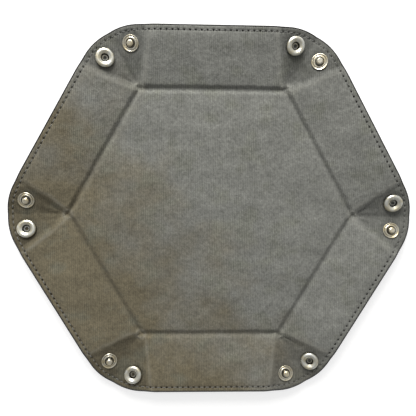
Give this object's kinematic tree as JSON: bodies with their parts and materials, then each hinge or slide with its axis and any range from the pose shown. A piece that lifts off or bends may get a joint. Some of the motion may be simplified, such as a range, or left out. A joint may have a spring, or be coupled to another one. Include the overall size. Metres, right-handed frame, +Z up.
{
  "type": "folding dice tray",
  "caption": "Hexagonal folding dice tray: a padded fabric and leather sheet with stiffened walls whose snapped corners fold it up into a shallow bin.",
  "frame": {"origin": "centre of the floor's underside, where the tray rests on the table", "axes": "+Z up, the tray's six-fold axis; +X towards corner 1, with corner k and wall k following anticlockwise, wall 1 at 30 degrees"},
  "size_m": [0.292, 0.2632, 0.011],
  "materials": {
    "leather": "matte grained",
    "board": "matte greyboard",
    "velvet": "short-pile velvet",
    "thread": "twisted thread",
    "nickel": "polished nickel"
  },
  "bodies": {
    "floor": {"floor_cover": "leather", "floor_board": "board", "floor_liner": "velvet"},
    "wall_1": {"wall_cover_1": "leather", "wall_board_1": "board", "wall_liner_1": "velvet"},
    "wall_2": {"wall_cover_2": "leather", "wall_board_2": "board", "wall_liner_2": "velvet"},
    "wall_3": {"wall_cover_3": "leather", "wall_board_3": "board", "wall_liner_3": "velvet"},
    "wall_4": {"wall_cover_4": "leather", "wall_board_4": "board", "wall_liner_4": "velvet"},
    "wall_5": {"wall_cover_5": "leather", "wall_board_5": "board", "wall_liner_5": "velvet"},
    "wall_6": {"wall_cover_6": "leather", "wall_board_6": "board", "wall_liner_6": "velvet"},
    "socket_ear_1": {"socket_ear_1": "velvet", "snap_socket_1": "nickel", "snap_cap_1": "nickel"},
    "stud_ear_1": {"stud_ear_1": "velvet", "snap_stud_1": "nickel", "snap_eyelet_1": "nickel"},
    "socket_ear_2": {"socket_ear_2": "velvet", "snap_socket_2": "nickel", "snap_cap_2": "nickel"},
    "stud_ear_2": {"stud_ear_2": "velvet", "snap_stud_2": "nickel", "snap_eyelet_2": "nickel"},
    "socket_ear_3": {"socket_ear_3": "velvet", "snap_socket_3": "nickel", "snap_cap_3": "nickel"},
    "stud_ear_3": {"stud_ear_3": "velvet", "snap_stud_3": "nickel", "snap_eyelet_3": "nickel"},
    "socket_ear_4": {"socket_ear_4": "velvet", "snap_socket_4": "nickel", "snap_cap_4": "nickel"},
    "stud_ear_4": {"stud_ear_4": "velvet", "snap_stud_4": "nickel", "snap_eyelet_4": "nickel"},
    "socket_ear_5": {"socket_ear_5": "velvet", "snap_socket_5": "nickel", "snap_cap_5": "nickel"},
    "stud_ear_5": {"stud_ear_5": "velvet", "snap_stud_5": "nickel", "snap_eyelet_5": "nickel"},
    "socket_ear_6": {"socket_ear_6": "velvet", "snap_socket_6": "nickel", "snap_cap_6": "nickel"},
    "stud_ear_6": {"stud_ear_6": "velvet", "snap_stud_6": "nickel", "snap_eyelet_6": "nickel"}
  },
  "joints": [
    {"name": "wall_1_fold", "type": "hinge", "parent": "floor", "child": "wall_1", "pos_m": [0.07838, 0.04525, 0.0016], "axis": [0.5, -0.866, 0], "range_deg": [-8, 79]},
    {"name": "wall_2_fold", "type": "hinge", "parent": "floor", "child": "wall_2", "pos_m": [0, 0.0905, 0.0016], "axis": [1, 0, 0], "range_deg": [-8, 79]},
    {"name": "wall_3_fold", "type": "hinge", "parent": "floor", "child": "wall_3", "pos_m": [-0.07838, 0.04525, 0.0016], "axis": [0.5, 0.866, 0], "range_deg": [-8, 79]},
    {"name": "wall_4_fold", "type": "hinge", "parent": "floor", "child": "wall_4", "pos_m": [-0.07838, -0.04525, 0.0016], "axis": [-0.5, 0.866, 0], "range_deg": [-8, 79]},
    {"name": "wall_5_fold", "type": "hinge", "parent": "floor", "child": "wall_5", "pos_m": [0, -0.0905, 0.0016], "axis": [-1, 0, 0], "range_deg": [-8, 79]},
    {"name": "wall_6_fold", "type": "hinge", "parent": "floor", "child": "wall_6", "pos_m": [0.07838, -0.04525, 0.0016], "axis": [-0.5, -0.866, 0], "range_deg": [-8, 79]},
    {"name": "corner_1_end_fold", "type": "hinge", "parent": "wall_1", "child": "socket_ear_1", "pos_m": [0.10306, 0.0031, 0.00003], "axis": [0.8501, 0.4908, 0.1908], "range_deg": [-5.43, 53.64]},
    {"name": "corner_1_middle_fold", "type": "hinge", "parent": "socket_ear_1", "child": "stud_ear_1", "pos_m": [0.1041, 0, 0.00338], "axis": [-0.9938, 0, -0.1108], "range_deg": [-16, 158]},
    {"name": "corner_2_end_fold", "type": "hinge", "parent": "wall_2", "child": "socket_ear_2", "pos_m": [0.04884, 0.0908, 0.00003], "axis": [0, 0.9816, 0.1908], "range_deg": [-5.43, 53.64]},
    {"name": "corner_2_middle_fold", "type": "hinge", "parent": "socket_ear_2", "child": "stud_ear_2", "pos_m": [0.05205, 0.09015, 0.00338], "axis": [-0.4969, -0.8607, -0.1108], "range_deg": [-16, 158]},
    {"name": "corner_3_end_fold", "type": "hinge", "parent": "wall_3", "child": "socket_ear_3", "pos_m": [-0.05422, 0.0877, 0.00003], "axis": [-0.8501, 0.4908, 0.1908], "range_deg": [-5.43, 53.64]},
    {"name": "corner_3_middle_fold", "type": "hinge", "parent": "socket_ear_3", "child": "stud_ear_3", "pos_m": [-0.05205, 0.09015, 0.00338], "axis": [0.4969, -0.8607, -0.1108], "range_deg": [-16, 158]},
    {"name": "corner_4_end_fold", "type": "hinge", "parent": "wall_4", "child": "socket_ear_4", "pos_m": [-0.10306, -0.0031, 0.00003], "axis": [-0.8501, -0.4908, 0.1908], "range_deg": [-5.43, 53.64]},
    {"name": "corner_4_middle_fold", "type": "hinge", "parent": "socket_ear_4", "child": "stud_ear_4", "pos_m": [-0.1041, 0, 0.00338], "axis": [0.9938, 0, -0.1108], "range_deg": [-16, 158]},
    {"name": "corner_5_end_fold", "type": "hinge", "parent": "wall_5", "child": "socket_ear_5", "pos_m": [-0.04884, -0.0908, 0.00003], "axis": [0, -0.9816, 0.1908], "range_deg": [-5.43, 53.64]},
    {"name": "corner_5_middle_fold", "type": "hinge", "parent": "socket_ear_5", "child": "stud_ear_5", "pos_m": [-0.05205, -0.09015, 0.00338], "axis": [0.4969, 0.8607, -0.1108], "range_deg": [-16, 158]},
    {"name": "corner_6_end_fold", "type": "hinge", "parent": "wall_6", "child": "socket_ear_6", "pos_m": [0.05422, -0.0877, 0.00003], "axis": [0.8501, -0.4908, 0.1908], "range_deg": [-5.43, 53.64]},
    {"name": "corner_6_middle_fold", "type": "hinge", "parent": "socket_ear_6", "child": "stud_ear_6", "pos_m": [0.05205, -0.09015, 0.00338], "axis": [-0.4969, 0.8607, -0.1108], "range_deg": [-16, 158]}
  ],
  "couplings": [
    {"joint": "corner_1_end_fold", "follows": "wall_1_fold", "ratio": 0.67894},
    {"joint": "corner_1_middle_fold", "follows": "wall_1_fold", "ratio": 2},
    {"joint": "wall_2_fold", "follows": "wall_1_fold", "ratio": 1},
    {"joint": "corner_2_end_fold", "follows": "wall_1_fold", "ratio": 0.67894},
    {"joint": "corner_2_middle_fold", "follows": "wall_1_fold", "ratio": 2},
    {"joint": "wall_3_fold", "follows": "wall_1_fold", "ratio": 1},
    {"joint": "corner_3_end_fold", "follows": "wall_1_fold", "ratio": 0.67894},
    {"joint": "corner_3_middle_fold", "follows": "wall_1_fold", "ratio": 2},
    {"joint": "wall_4_fold", "follows": "wall_1_fold", "ratio": 1},
    {"joint": "corner_4_end_fold", "follows": "wall_1_fold", "ratio": 0.67894},
    {"joint": "corner_4_middle_fold", "follows": "wall_1_fold", "ratio": 2},
    {"joint": "wall_5_fold", "follows": "wall_1_fold", "ratio": 1},
    {"joint": "corner_5_end_fold", "follows": "wall_1_fold", "ratio": 0.67894},
    {"joint": "corner_5_middle_fold", "follows": "wall_1_fold", "ratio": 2},
    {"joint": "wall_6_fold", "follows": "wall_1_fold", "ratio": 1},
    {"joint": "corner_6_end_fold", "follows": "wall_1_fold", "ratio": 0.67894},
    {"joint": "corner_6_middle_fold", "follows": "wall_1_fold", "ratio": 2}
  ]
}
